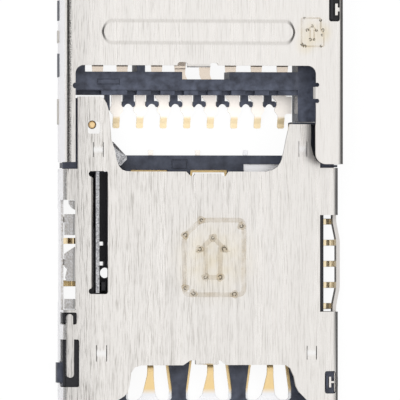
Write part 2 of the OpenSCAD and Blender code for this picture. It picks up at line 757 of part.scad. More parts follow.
module upper_shell_cuts() {
    // Open window between the side strips
    rise(z3 - 0.2, z4 + 1) {
        round_patch([lx + 0.37, strip_end - 2], [rx - 1.19, plate_edge], 0.35);
        difference() {
            patch([rx - 1.24, strip_end - 0.1], [rx - 0.74, strip_end + 0.45]);
            translate([rx - 0.74, strip_end + 0.45]) circle(0.45);
        }
        // Reliefs beside the lip and in the strips
        round_patch([-1.3, plate_edge - 0.3], [-0.88, plate_edge + 0.14], 0.14);
        round_patch([0.09, plate_edge - 0.3], [0.43, plate_edge + 0.1], 0.1);
        patch([-0.95, plate_edge - 0.2], [0.2, plate_edge + 0.08]);
        translate([lx + 0.37, 3.9]) circle(0.12);
        for (y = [3.29, 3.96]) {
            translate([rx - 1.14, y]) circle(0.09);
        }
    }
    // The left strip ends a little earlier
    block([lx - 1, strip_end - 1, -1], [lx + 1, strip_end + 0.08, z4 + 1]);
    // Hollow under the bead
    bump(bead_left + sheet * 0.6, bead_right - sheet * 0.6, 6.17, z3 - 0.05, z3 + bead_height, bead_width - sheet * 1.2);
    // Hold-down window with its tab
    difference() {
        rise(z3 - 0.1, z4 + 1) round_patch([rx - 0.635, 6.6], [rx - 0.175, 7.6], 0.1);
        rise(z3 - 0.2, z4 + 2) patch([rx - 0.335, 7.02], [rx + 0.1, 7.18]);
        rise(z3 - 0.2, z4 + 2) patch([rx - 0.375, 6.86], [rx - 0.265, 7.34]);
    }
    // Openings along the lower edge of both walls
    for (y = [[8.4, 9.6], [6.6, 7.5], [5.67, 6.25], [4.25, 5.29], [2.28, 3.4]]) {
        block([lx - 1, y[0], -1], [lx + 0.3, y[1], 0.24]);
        block([rx - 0.3, y[0], -1], [rx + 1, y[1], 0.24]);
    }
}

module upper_shell() {
    centred() color([0.8, 0.8, 0.78]) {
        difference() {
            union() {
                folded(strip_end, hl, z4);
                bump(bead_left, bead_right, 6.17, z4 - 0.05, z4 + bead_height, bead_width);
            }
            upper_shell_cuts();
        }
        // Lip over the card and the small tab of the right strip
        strip_yz(-0.395, ease([
            [plate_edge + 0.16, zu], [plate_edge + 0.06, zu], [plate_edge - 0.06, zu + 0.04]
        ], 0.05), sheet, 0.97);
        strip_xz(3.38, 3.87, ease([[rx - 1.04, zu], [rx - 1.15, zu], [rx - 1.26, zu - 0.06]], 0.05), sheet);
    }
}

base_housing();
lower_shell();
card_housing();
upper_shell();
sim_contact_1();
sim_contact_2();
sim_contact_3();
sim_contact_4();
sim_contact_5();
sim_contact_6();
card_contact_1();
card_contact_2();
card_contact_3();
card_contact_4();
card_contact_5();
card_contact_6();
card_contact_7();
card_contact_8();
detect_arm();
detect_contact();
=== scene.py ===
"""Finishes, direction marks and studio stage for a stacked SIM and memory card socket."""

import math

import bmesh
import bpy
from mathutils import Matrix, Vector


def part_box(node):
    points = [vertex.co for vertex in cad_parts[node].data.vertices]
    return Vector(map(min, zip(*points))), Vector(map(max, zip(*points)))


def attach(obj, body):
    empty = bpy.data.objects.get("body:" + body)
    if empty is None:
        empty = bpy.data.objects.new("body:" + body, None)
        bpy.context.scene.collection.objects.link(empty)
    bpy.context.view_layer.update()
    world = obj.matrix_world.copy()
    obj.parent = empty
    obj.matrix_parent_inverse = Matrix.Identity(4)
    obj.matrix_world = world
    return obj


bl_info = {
    "name": "Card Socket Finishes",
    "version": (1, 0, 0),
    "blender": (4, 5, 0),
    "location": "View3D > Sidebar > Card Socket",
    "description": "Dresses a stacked SIM and memory card socket and sets up its studio view",
    "category": "Object",
}

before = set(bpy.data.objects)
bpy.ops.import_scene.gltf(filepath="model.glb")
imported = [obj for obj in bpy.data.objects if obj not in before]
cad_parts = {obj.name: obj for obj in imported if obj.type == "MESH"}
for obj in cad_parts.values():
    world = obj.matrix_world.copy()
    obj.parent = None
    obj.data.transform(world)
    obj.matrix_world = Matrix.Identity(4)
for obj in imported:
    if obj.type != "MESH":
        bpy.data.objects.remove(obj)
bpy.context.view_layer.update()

MM = 0.001
FAR = 100.0  # beyond the socket on any side, in millimetres
SIM_CONTACTS = ["sim_contact_%d" % n for n in range(1, 7)]
CARD_CONTACTS = ["card_contact_%d" % n for n in range(1, 9)]

# What shows in the openings low in the left wall of the upper cover, in millimetres: the start and end of
# each foot along Y, and the start, end and height of each tab.
FOOT_SPANS = ((4.27, 5.27), (6.62, 7.48))
TAB_SPANS = ((2.3, 3.38, 0.27), (5.69, 6.23, 0.42))


class SheetFinishSettings(bpy.types.PropertyGroup):
    """Look of the two folded steel covers."""

    light: bpy.props.FloatVectorProperty(
        name="Light Steel",
        description="Colour of the steel between the brush lines",
        subtype="COLOR", size=4, min=0.0, max=1.0,
        default=(0.945, 0.915, 0.882, 1.0),
    )
    # Also mixed in as painted shade on the drawn flank of the bead.
    dark: bpy.props.FloatVectorProperty(
        name="Dark Steel",
        description="Colour of the steel in the brush lines",
        subtype="COLOR", size=4, min=0.0, max=1.0,
        default=(0.46, 0.435, 0.40, 1.0),
    )
    warm: bpy.props.FloatVectorProperty(
        name="Warm Steel",
        description="Colour of the heat tint between the brush lines",
        subtype="COLOR", size=4, min=0.0, max=1.0,
        default=(0.90, 0.80, 0.60, 1.0),
    )
    warm_dark: bpy.props.FloatVectorProperty(
        name="Dark Warm Steel",
        description="Colour of the heat tint in the brush lines",
        subtype="COLOR", size=4, min=0.0, max=1.0,
        default=(0.46, 0.38, 0.25, 1.0),
    )
    scuff: bpy.props.FloatVectorProperty(
        name="Scuff",
        description="Colour of the deep brush marks on the left folds",
        subtype="COLOR", size=4, min=0.0, max=1.0,
        default=(0.10, 0.098, 0.095, 1.0),
    )
    coined: bpy.props.FloatVectorProperty(
        name="Coined Steel",
        description="Colour of pressed places that the brush misses",
        subtype="COLOR", size=4, min=0.0, max=1.0,
        default=(0.95, 0.94, 0.93, 1.0),
    )
    matte: bpy.props.FloatVectorProperty(
        name="Matte Steel",
        description="Colour of the sheet on the folded sides and tabs",
        subtype="COLOR", size=4, min=0.0, max=1.0,
        default=(0.74, 0.735, 0.755, 1.0),
    )
    cut: bpy.props.FloatVectorProperty(
        name="Cut Edge",
        description="Colour of the sheared edges low on the right side",
        subtype="COLOR", size=4, min=0.0, max=1.0,
        default=(0.56, 0.535, 0.51, 1.0),
    )
    grain_width: bpy.props.FloatProperty(
        name="Grain Width",
        description="Width of one brush line in millimetres",
        default=0.03,
        min=0.01,
        max=0.5,
    )
    grain_length: bpy.props.FloatProperty(
        name="Grain Length",
        description="Length of one brush line in millimetres",
        default=0.98,
        min=0.1,
        max=10.0,
    )
    bead_low: bpy.props.FloatVectorProperty(
        name="Bead Low Corner",
        description="Low corner of the drawn bead, at the face of the upper cover",
        subtype="XYZ", unit="LENGTH", size=3,
        default=(-4.3925 * MM, 5.6975 * MM, 2.3 * MM),
    )
    bead_high: bpy.props.FloatVectorProperty(
        name="Bead High Corner",
        description="High corner of the drawn bead, at its crown",
        subtype="XYZ", unit="LENGTH", size=3,
        default=(3.7975 * MM, 6.5725 * MM, 2.38 * MM),
    )
    bead_crown: bpy.props.FloatProperty(
        name="Bead Crown",
        description="Half the width of the flat crown of the bead",
        subtype="DISTANCE", unit="LENGTH",
        default=0.31 * MM,
        min=0.05 * MM,
        max=0.4 * MM,
    )
    bead_flank: bpy.props.FloatProperty(
        name="Bead Flank",
        description="Width of the drawn flank along the sides of the bead",
        subtype="DISTANCE", unit="LENGTH",
        default=0.29 * MM,
        min=0.02 * MM,
        max=0.4 * MM,
    )
    tab_reach: bpy.props.FloatProperty(
        name="Tab Reach",
        description="How far the low tabs stand out of the openings in the left wall of the upper cover",
        subtype="DISTANCE", unit="LENGTH",
        default=0.035 * MM,
        min=0.0,
        max=0.1 * MM,
    )
    edge_round: bpy.props.FloatProperty(
        name="Edge Rounding",
        description="Width of the rolled edge left by stamping",
        subtype="DISTANCE", unit="LENGTH",
        default=0.030 * MM,
        min=0.0,
        max=0.1 * MM,
    )


class MouldFinishSettings(bpy.types.PropertyGroup):
    """Look of the two black mouldings."""

    # Painted shade: this near black stands in for the shade under the covers and down in the slot at the
    # front left.
    deep: bpy.props.FloatVectorProperty(
        name="Deep Plastic",
        description="Colour of the unworn moulding down in its pockets",
        subtype="COLOR", size=4, min=0.0, max=1.0,
        default=(0.008, 0.008, 0.011, 1.0),
    )
    light: bpy.props.FloatVectorProperty(
        name="Light Plastic",
        description="Colour of the moulding on its paler patches",
        subtype="COLOR", size=4, min=0.0, max=1.0,
        default=(0.074, 0.085, 0.122, 1.0),
    )
    dark: bpy.props.FloatVectorProperty(
        name="Dark Plastic",
        description="Colour of the moulding on its darker patches",
        subtype="COLOR", size=4, min=0.0, max=1.0,
        default=(0.018, 0.021, 0.034, 1.0),
    )
    end_wall_low: bpy.props.FloatVectorProperty(
        name="End Wall Low Corner",
        description="Lower corner of the wall on the floor below the end of the right arm",
        subtype="XYZ", unit="LENGTH", size=3,
        default=(3.93 * MM, 2.31 * MM, 0.32 * MM),
    )
    end_wall_high: bpy.props.FloatVectorProperty(
        name="End Wall High Corner",
        description="Upper corner of the wall below the end of the right arm",
        subtype="XYZ", unit="LENGTH", size=3,
        default=(4.9 * MM, 2.42 * MM, 1.07 * MM),
    )
    foot_reach: bpy.props.FloatProperty(
        name="Foot Reach",
        description="How far the feet stand out of the openings in the left wall of the upper cover",
        subtype="DISTANCE", unit="LENGTH",
        default=0.025 * MM,
        min=0.0,
        max=0.1 * MM,
    )
    foot_height: bpy.props.FloatProperty(
        name="Foot Height",
        description="Height of the feet in the left wall of the upper cover",
        subtype="DISTANCE", unit="LENGTH",
        default=0.45 * MM,
        min=0.1 * MM,
        max=1.0 * MM,
    )
    edge_round: bpy.props.FloatProperty(
        name="Edge Rounding",
        description="Width of the softened mould edges",
        subtype="DISTANCE", unit="LENGTH",
        default=0.022 * MM,
        min=0.0,
        max=0.1 * MM,
    )


class SpringFinishSettings(bpy.types.PropertyGroup):
    """Look of the plated springs and the switch arm."""

    nickel: bpy.props.FloatVectorProperty(
        name="Nickel",
        description="Colour of the plain plated strip",
        subtype="COLOR", size=4, min=0.0, max=1.0,
        default=(0.97, 0.91, 0.85, 1.0),
    )
    cream: bpy.props.FloatVectorProperty(
        name="Cream",
        description="Colour of the polished roots of the card springs",
        subtype="COLOR", size=4, min=0.0, max=1.0,
        default=(0.85, 0.74, 0.63, 1.0),
    )
    silver: bpy.props.FloatVectorProperty(
        name="Silver",
        description="Colour of the plain plates of the SIM springs",
        subtype="COLOR", size=4, min=0.0, max=1.0,
        default=(0.86, 0.86, 0.88, 1.0),
    )
    gold: bpy.props.FloatVectorProperty(
        name="Gold",
        description="Colour of the plated ends",
        subtype="COLOR", size=4, min=0.0, max=1.0,
        default=(0.98, 0.83, 0.56, 1.0),
    )
    thin_gold: bpy.props.FloatVectorProperty(
        name="Thin Gold",
        description="Colour of the gold on the tails of the card springs",
        subtype="COLOR", size=4, min=0.0, max=1.0,
        default=(0.87, 0.73, 0.485, 1.0),
    )
    deep_gold: bpy.props.FloatVectorProperty(
        name="Deep Gold",
        description="Colour of the thicker gold on the SIM springs",
        subtype="COLOR", size=4, min=0.0, max=1.0,
        default=(0.87, 0.65, 0.32, 1.0),
    )
    gold_shade: bpy.props.FloatVectorProperty(
        name="Gold Shade",
        description="Colour of the thinner patches of the gold",
        subtype="COLOR", size=4, min=0.0, max=1.0,
        default=(0.80, 0.59, 0.32, 1.0),
    )
    arm_pale: bpy.props.FloatVectorProperty(
        name="Pale Arm Steel",
        description="Colour of the bright specks on the switch arm",
        subtype="COLOR", size=4, min=0.0, max=1.0,
        default=(0.80, 0.80, 0.82, 1.0),
    )
    arm: bpy.props.FloatVectorProperty(
        name="Arm Steel",
        description="Colour of the switch arm",
        subtype="COLOR", size=4, min=0.0, max=1.0,
        default=(0.20, 0.20, 0.21, 1.0),
    )
    edge_round: bpy.props.FloatProperty(
        name="Edge Rounding",
        description="Width of the rolled edge of the strip",
        subtype="DISTANCE", unit="LENGTH",
        default=0.016 * MM,
        min=0.0,
        max=0.1 * MM,
    )


class MarkSettings(bpy.types.PropertyGroup):
    """Etched direction marks on the covers."""

    tint: bpy.props.FloatVectorProperty(
        name="Etch Tint",
        description="Colour of the etched bands",
        subtype="COLOR", size=4, min=0.0, max=1.0,
        default=(0.56, 0.44, 0.27, 1.0),
    )
    burn: bpy.props.FloatVectorProperty(
        name="Burn",
        description="Colour of the burnt turns at the ends of the bands",
        subtype="COLOR", size=4, min=0.0, max=1.0,
        default=(0.11, 0.095, 0.07, 1.0),
    )
    band: bpy.props.FloatProperty(
        name="Band Width",
        description="Width of an etched band on the lower cover",
        subtype="DISTANCE", unit="LENGTH",
        default=0.2 * MM,
        min=0.02 * MM,
        max=0.5 * MM,
    )
    sim_level: bpy.props.FloatProperty(
        name="SIM Mark Level",
        description="Height of the lower cover's top face",
        subtype="DISTANCE", unit="LENGTH",
        default=1.25 * MM,
    )
    card_level: bpy.props.FloatProperty(
        name="Card Mark Level",
        description="Height of the upper cover's top face",
        subtype="DISTANCE", unit="LENGTH",
        default=2.3 * MM,
    )


class StageSettings(bpy.types.PropertyGroup):
    """Camera, light and floor."""

    tilt: bpy.props.FloatProperty(
        name="Tilt",
        description="How far the camera leans towards the left side",
        subtype="ANGLE",
        unit="ROTATION",
        default=math.radians(10.5),
    )
    view_width: bpy.props.FloatProperty(
        name="View Width",
        description="Width of the framed field at the socket",
        subtype="DISTANCE", unit="LENGTH",
        default=16.667 * MM,
    )
    aim: bpy.props.FloatVectorProperty(
        name="Aim",
        description="Point at the centre of the picture",
        subtype="XYZ", unit="LENGTH", size=3,
        default=(0.0, -0.833 * MM, 1.0 * MM),
    )
    lens: bpy.props.FloatProperty(
        name="Lens",
        description="Focal length of the camera in millimetres",
        default=600.0,
        min=20.0,
        max=1000.0,
    )
    ceiling_level: bpy.props.FloatProperty(
        name="Ceiling Level",
        description="Brightness of the studio ceiling above the socket",
        subtype="FACTOR",
        default=1.22,
        min=0.0,
        max=2.0,
    )
    side_level: bpy.props.FloatProperty(
        name="Side Level",
        description="Brightness of the studio's left and right sides in reflections",
        subtype="FACTOR",
        default=0.03,
        min=0.0,
        max=1.0,
    )
    soft_power: bpy.props.FloatProperty(
        name="Soft Lamp Power",
        description="Power of the large lamp at the upper left",
        subtype="POWER",
        unit="POWER",
        default=0.035,
        min=0.0,
        max=1.0,
    )
    fill_power: bpy.props.FloatProperty(
        name="Fill Lamp Power",
        description="Power of the small lamp at the lower right",
        subtype="POWER",
        unit="POWER",
        default=0.012,
        min=0.0,
        max=1.0,
    )


def put(tree, kind, inputs=None, **settings):
    """Add a node, set its properties and fill or link its inputs."""
    item = tree.nodes.new(kind)
    for key, value in settings.items():
        setattr(item, key, value)
    for key, value in (inputs or {}).items():
        if isinstance(value, bpy.types.NodeSocket):
            tree.links.new(value, item.inputs[key])
        else:
            item.inputs[key].default_value = value
    return item


def calculate(tree, operation, first, second=0.0):
    """Value worked out from one or two plain or linked values."""
    return put(tree, "ShaderNodeMath", {0: first, 1: second}, operation=operation).outputs[0]


def start_group(name, inputs, outputs):
    """Make an empty shader group with named inputs and outputs."""
    tree = bpy.data.node_groups.new(name, "ShaderNodeTree")
    for label, default in inputs:
        socket = tree.interface.new_socket(name=label, in_out="INPUT", socket_type="NodeSocketFloat")
        socket.default_value = default
    for label in outputs:
        tree.interface.new_socket(name=label, in_out="OUTPUT", socket_type="NodeSocketFloat")
    return tree, tree.nodes.new("NodeGroupInput"), tree.nodes.new("NodeGroupOutput")


def brushed_grain_group():
    """Fine straight brush lines along Y, with broader streaks below them."""
    name = "Brushed Grain"
    if name in bpy.data.node_groups:
        return bpy.data.node_groups[name]
    tree, given, result = start_group(name, [("Width", 0.05), ("Length", 1.0)], ["Line", "Streak"])
    place = put(tree, "ShaderNodeTexCoord").outputs["Object"]
    across = calculate(tree, "DIVIDE", 1.0 / MM, given.outputs["Width"])
    along = calculate(tree, "DIVIDE", 1.0 / MM, given.outputs["Length"])
    upright = calculate(tree, "MULTIPLY", across, 0.35)
    scale = put(tree, "ShaderNodeCombineXYZ", {"X": across, "Y": along, "Z": upright})
    fine = put(tree, "ShaderNodeVectorMath", {0: place, 1: scale.outputs[0]}, operation="MULTIPLY")
    broad = put(tree, "ShaderNodeVectorMath", {0: fine.outputs[0], "Scale": 0.1}, operation="SCALE")
    line = put(tree, "ShaderNodeTexNoise", {
        "Vector": fine.outputs[0], "Scale": 1.0, "Detail": 3.0, "Roughness": 0.7,
    })
    streak = put(tree, "ShaderNodeTexNoise", {
        "Vector": broad.outputs[0], "Scale": 1.0, "Detail": 2.0, "Roughness": 0.55,
    })
    for source, label in ((line, "Line"), (streak, "Streak")):
        spread = put(tree, "ShaderNodeMapRange", {
            "Value": source.outputs[0], "From Min": 0.28, "From Max": 0.72,
        })
        tree.links.new(spread.outputs[0], result.inputs[label])
    return tree


def mould_grain_group():
    """Fine speckle and soft clouds of a glass-filled moulding or a plated strip."""
    name = "Mould Grain"
    if name in bpy.data.node_groups:
        return bpy.data.node_groups[name]
    sizes = [("Speckle Size", 0.04), ("Cloud Size", 0.6)]
    tree, given, result = start_group(name, sizes, ["Speckle", "Cloud"])
    place = put(tree, "ShaderNodeTexCoord").outputs["Object"]
    for size, label, detail in (("Speckle Size", "Speckle", 2.0), ("Cloud Size", "Cloud", 4.0)):
        scale = calculate(tree, "DIVIDE", 1.0 / MM, given.outputs[size])
        noise = put(tree, "ShaderNodeTexNoise", {
            "Vector": place, "Scale": scale, "Detail": detail, "Roughness": 0.6,
        })
        spread = put(tree, "ShaderNodeMapRange", {
            "Value": noise.outputs[0], "From Min": 0.3, "From Max": 0.7,
        })
        tree.links.new(spread.outputs[0], result.inputs[label])
    return tree


def level_zone_group():
    """Mask of a zone: 1 between two levels of a position in millimetres."""
    name = "Level Zone"
    if name in bpy.data.node_groups:
        return bpy.data.node_groups[name]
    tree, given, result = start_group(
        name, [("Position", 0.0), ("Low", 0.0), ("High", 1.0), ("Softness", 0.1)], ["Mask"]
    )
    place = calculate(tree, "MULTIPLY", given.outputs["Position"], 1.0 / MM)
    masks = []
    for label, first, last in (("Low", 0.0, 1.0), ("High", 1.0, 0.0)):
        start = calculate(tree, "SUBTRACT", given.outputs[label], given.outputs["Softness"])
        end = calculate(tree, "ADD", given.outputs[label], given.outputs["Softness"])
        masks.append(put(tree, "ShaderNodeMapRange", {
            "Value": place, "From Min": start, "From Max": end, "To Min": first, "To Max": last,
        }).outputs[0])
    tree.links.new(calculate(tree, "MULTIPLY", *masks), result.inputs["Mask"])
    return tree


def heat_tint_group():
    """Soft round mask about a point, broken up along the brush lines; sizes in millimetres."""
    name = "Heat Tint"
    if name in bpy.data.node_groups:
        return bpy.data.node_groups[name]
    tree, given, result = start_group(name, [("Centre X", 0.0), ("Centre Y", 0.0), ("Radius", 1.0)], ["Mask"])
    place = put(tree, "ShaderNodeTexCoord").outputs["Object"]
    flat = put(tree, "ShaderNodeVectorMath", {0: place, 1: (1.0 / MM, 1.0 / MM, 0.0)}, operation="MULTIPLY")
    centre = put(tree, "ShaderNodeCombineXYZ", {
        "X": given.outputs["Centre X"], "Y": given.outputs["Centre Y"],
    })
    away = put(tree, "ShaderNodeVectorMath", {0: flat.outputs[0], 1: centre.outputs[0]}, operation="DISTANCE")
    fade = put(tree, "ShaderNodeMapRange", {
        "Value": away.outputs["Value"], "From Min": 0.0, "From Max": given.outputs["Radius"],
        "To Min": 1.0, "To Max": 0.0,
    }, interpolation_type="SMOOTHSTEP")
    patchy = put(tree, "ShaderNodeTexNoise", {"Vector": flat.outputs[0], "Scale": 2.2, "Detail": 3.0})
    mask = calculate(tree, "MULTIPLY", fade.outputs[0], patchy.outputs[0])
    tree.links.new(mask, result.inputs["Mask"])
    return tree


def start_material(name):
    """Make a node material and give back its tree and its shader."""
    material = bpy.data.materials.new(name)
    material.use_nodes = True
    return material, material.node_tree, material.node_tree.nodes["Principled BSDF"]


def use_group(tree, group, values):
    """Place a shader group in a material with its own values."""
    item = put(tree, "ShaderNodeGroup", node_tree=group)
    for key, value in values.items():
        item.inputs[key].default_value = value
    return item


def level_mask(tree, axis, low, high, softness):
    """Mask of the zone between two levels along one axis, in millimetres."""
    place = put(tree, "ShaderNodeTexCoord").outputs["Object"]
    zone = use_group(tree, level_zone_group(), {"Low": low, "High": high, "Softness": softness})
    parts = put(tree, "ShaderNodeSeparateXYZ", {"Vector": place})
    tree.links.new(parts.outputs[axis], zone.inputs["Position"])
    return zone.outputs["Mask"]


def blend_colour(tree, factor, first, second):
    """Colour between two plain or linked colours."""
    item = put(tree, "ShaderNodeMix", {"Factor": factor}, data_type="RGBA")
    for socket, value in ((item.inputs[6], first), (item.inputs[7], second)):
        if isinstance(value, bpy.types.NodeSocket):
            tree.links.new(value, socket)
        else:
            socket.default_value = value
    return item.outputs[2]


def blend_value(tree, factor, low, high):
    """Value that runs from low to high, plain or linked, with a factor."""
    return put(tree, "ShaderNodeMapRange", {"Value": factor, "To Min": low, "To Max": high}).outputs[0]


def add_bump(tree, shader, height, strength, depth):
    """Fine surface relief from a height."""
    bump = put(tree, "ShaderNodeBump", {"Height": height, "Strength": strength, "Distance": depth})
    tree.links.new(bump.outputs["Normal"], shader.inputs["Normal"])


def sheet_material(name, settings, depth, tints, pocket, fold, pitting, wear, rub):
    """Plated steel sheet, brushed along the cards' way in.

    The brush lines have a depth, and the tints are places of heat tint: a middle along X and Y, and a radius.
    The level of the pressed pocket is bare steel, and the drawn flank of the bead is darkened with painted
    shade.
    Below the level of its fold the left side is matte, with more or less pitting. The wear is a band of dark
    specks on the left fold, and the rub is how strongly the sheet beside that fold is scuffed. Places and
    levels are in millimetres.
    """
    material, tree, shader = start_material(name)
    grain = use_group(tree, brushed_grain_group(), {
        "Width": settings.grain_width, "Length": settings.grain_length,
    })
    pits = use_group(tree, mould_grain_group(), {"Speckle Size": 0.09, "Cloud Size": 0.5})
    lines = put(tree, "ShaderNodeMapRange", {
        "Value": grain.outputs["Line"], "From Min": 0.0, "From Max": 0.5,
        "To Min": 1.0 - 1.75 * depth, "To Max": 1.0,
    })
    specks = use_group(tree, mould_grain_group(), {"Speckle Size": 0.045, "Cloud Size": 0.3})
    streaks = blend_value(tree, grain.outputs["Streak"], 1.0 - 0.2 * depth, 1.0)
    broken = blend_value(tree, specks.outputs["Speckle"], 1.0 - 0.16 * depth, 1.0)
    right = blend_value(tree, level_mask(tree, "X", 1.5, FAR, 3.5), 0.0, 0.5)
    calm = blend_value(tree, right, lines.outputs[0], 1.0 - 0.1 * depth)
    level = calculate(tree, "MULTIPLY", calm, calculate(tree, "MULTIPLY", streaks, broken))
    steel = blend_colour(tree, level, settings.dark, settings.light)
    for x, y, size in tints:
        tint = use_group(tree, heat_tint_group(), {"Centre X": x, "Centre Y": y, "Radius": size})
        warm = blend_colour(tree, level, settings.warm_dark, settings.warm)
        steel = blend_colour(tree, tint.outputs["Mask"], steel, warm)
    rubbed = put(tree, "ShaderNodeMapRange", {
        "Value": grain.outputs["Line"], "From Min": 0.05, "From Max": 0.42,
        "To Min": rub, "To Max": 0.25 * rub,
    })
    scuffs = calculate(tree, "MULTIPLY", rubbed.outputs[0], level_mask(tree, "X", -FAR, -4.75, 0.6))
    steel = blend_colour(tree, scuffs, steel, settings.scuff)
    pressed = level_mask(tree, "Z", pocket - 0.02, pocket + 0.02, 0.01)
    steel = blend_colour(tree, pressed, steel, settings.coined)
    # Painted shade: the drawn flank of the bead turns three tenths of the way to the dark steel.
    foot, crown = settings.bead_low[2] / MM, settings.bead_high[2] / MM
    drawn = level_mask(tree, "Z", foot + 0.012, crown - 0.012, 0.01)
    steel = blend_colour(tree, blend_value(tree, drawn, 0.0, 0.3), steel, settings.dark)
    below = calculate(
        tree, "MULTIPLY", level_mask(tree, "Z", -FAR, fold, 0.03), level_mask(tree, "X", -FAR, -5.14, 0.02)
    )
    flecks = blend_value(tree, specks.outputs["Speckle"], 1.1, -0.3)
    blotches = calculate(tree, "MULTIPLY", flecks, level_mask(tree, "X", *wear))
    steel = blend_colour(tree, blotches, steel, settings.scuff)
    holes = blend_value(tree, pits.outputs["Speckle"], pitting, 0.0)
    shaded = calculate(tree, "MULTIPLY", holes, level_mask(tree, "X", -5.8, FAR, 0.02))
    pitted = blend_colour(tree, shaded, settings.matte, settings.dark)
    sheared = calculate(
        tree, "MULTIPLY", level_mask(tree, "Z", -FAR, 0.85, 0.04), level_mask(tree, "X", 5.0, FAR, 0.1)
    )
    steel = blend_colour(tree, sheared, steel, settings.cut)
    tree.links.new(blend_colour(tree, below, steel, pitted), shader.inputs["Base Color"])
    tree.links.new(blend_value(tree, grain.outputs["Streak"], 0.34, 0.24), shader.inputs["Roughness"])
    dull = calculate(tree, "ADD", below, sheared)
    tree.links.new(blend_value(tree, dull, 1.0, 0.45), shader.inputs["Metallic"])
    add_bump(tree, shader, grain.outputs["Line"], 0.3, 0.004 * MM)
    return material


def mould_material(name, settings, zones, tone, polish=None):
    """Black glass-filled moulding in patchy grey, with painted shade that turns it black in the zones under
    its cover.

    Each zone of painted shade is a pair of levels along Y and a pair along X, in millimetres. The tone scales
    the grey.
    Between the two levels of polish along X, where it has one, the moulding shines.
    """
    material, tree, shader = start_material(name)
    grain = use_group(tree, mould_grain_group(), {"Speckle Size": 0.05, "Cloud Size": 0.4})
    light = tuple(tone * c for c in settings.light[:3]) + (1.0,)
    blotches = blend_colour(tree, grain.outputs["Cloud"], settings.dark, light)
    # Painted shade: each zone under a cover or down in a slot turns near black.
    for low, high, left, right in zones:
        painted_shade = calculate(
            tree, "MULTIPLY", level_mask(tree, "Y", low, high, 0.06), level_mask(tree, "X", left, right, 0.02)
        )
        blotches = blend_colour(tree, painted_shade, blotches, settings.deep)
    tree.links.new(blotches, shader.inputs["Base Color"])
    finish = blend_value(tree, grain.outputs["Speckle"], 0.42, 0.6)
    if polish:
        finish = blend_value(tree, level_mask(tree, "X", *polish, 0.005), finish, 0.12)
    tree.links.new(finish, shader.inputs["Roughness"])
    add_bump(tree, shader, grain.outputs["Speckle"], 0.3, 0.006 * MM)
    return material


def plated_material(name, settings, plain, gold, zone, polish, shine, gloss, root=FAR, metal=0.6):
    """Satin strip with a gold zone, given as two levels along Y and their softness.

    Between the two levels of polish, given with their axis, the strip has the colour shine, and a roughness
    and a share of metal given as gloss. Beyond the level of its root along Y, where it has one, it is dull.
    Elsewhere its share of metal is given as metal.
    """
    material, tree, shader = start_material(name)
    grain = use_group(tree, mould_grain_group(), {"Speckle Size": 0.06, "Cloud Size": 0.35})
    mask = level_mask(tree, "Y", *zone)
    blotches = blend_value(tree, grain.outputs["Cloud"], 0.0, 0.45)
    gold = blend_colour(tree, blotches, gold, settings.gold_shade)
    bright = level_mask(tree, *polish, 0.06)
    plated = blend_colour(tree, mask, plain, gold)
    tree.links.new(blend_colour(tree, bright, plated, shine), shader.inputs["Base Color"])
    satin = blend_value(tree, grain.outputs["Speckle"], 0.3, 0.36)
    tree.links.new(blend_value(tree, bright, satin, gloss[0]), shader.inputs["Roughness"])
    share = blend_value(tree, bright, metal, gloss[1])
    share = calculate(tree, "MULTIPLY", share, level_mask(tree, "Y", -FAR, root, 0.02))
    tree.links.new(share, shader.inputs["Metallic"])
    add_bump(tree, shader, grain.outputs["Cloud"], 0.1, 0.003 * MM)
    return material


def arm_material(settings):
    """Plain spring strip of the switch, with dark specks and gold feet on the left."""
    material, tree, shader = start_material("Switch Strip")
    grain = use_group(tree, mould_grain_group(), {"Speckle Size": 0.05, "Cloud Size": 0.3})
    steel = blend_colour(tree, grain.outputs["Speckle"], settings.arm, settings.arm_pale)
    gold = blend_colour(tree, grain.outputs["Cloud"], settings.gold, settings.gold_shade)
    mask = level_mask(tree, "X", -FAR, -5.0, 0.05)
    tree.links.new(blend_colour(tree, mask, steel, gold), shader.inputs["Base Color"])
    satin = blend_value(tree, grain.outputs["Cloud"], 0.3, 0.48)
    tree.links.new(blend_value(tree, mask, satin, 0.1), shader.inputs["Roughness"])
    shader.inputs["Metallic"].default_value = 1.0
    add_bump(tree, shader, grain.outputs["Speckle"], 0.2, 0.004 * MM)
    return material


def tab_material(settings):
    """Dull steel of the low tabs in the left wall."""
    material, tree, shader = start_material("Tab Steel")
    shader.inputs["Base Color"].default_value = settings.dark
    shader.inputs["Roughness"].default_value = 0.4
    shader.inputs["Metallic"].default_value = 0.45
    return material


def etch_material(name, colour, thin, thick, roughness):
    """Etched film whose patchy cover lets the steel show through."""
    material, tree, shader = start_material(name)
    grain = use_group(tree, mould_grain_group(), {"Speckle Size": 0.1, "Cloud Size": 0.5})
    dark = tuple(0.6 * c for c in colour[:3]) + (1.0,)
    film = blend_colour(tree, grain.outputs["Speckle"], tuple(colour), dark)
    tree.links.new(film, shader.inputs["Base Color"])
    tree.links.new(blend_value(tree, grain.outputs["Cloud"], thin, thick), shader.inputs["Alpha"])
    shader.inputs["Roughness"].default_value = roughness
    return material


def dress(name, material, edge_round):
    """Give a CAD node its material and softly rounded edges."""
    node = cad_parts[name]
    node.data.materials.clear()
    node.data.materials.append(material)
    weld = node.modifiers.new("Weld", "WELD")
    weld.merge_threshold = 0.0005 * MM
    bevel = node.modifiers.new("Rolled Edges", "BEVEL")
    bevel.width = edge_round
    bevel.segments = 2
    bevel.limit_method = "ANGLE"
    bevel.angle_limit = math.radians(32.0)
    bevel.use_clamp_overlap = True
    bevel.harden_normals = False
    normal = node.modifiers.new("Face Normals", "WEIGHTED_NORMAL")
    normal.weight = 80
    normal.keep_sharp = True


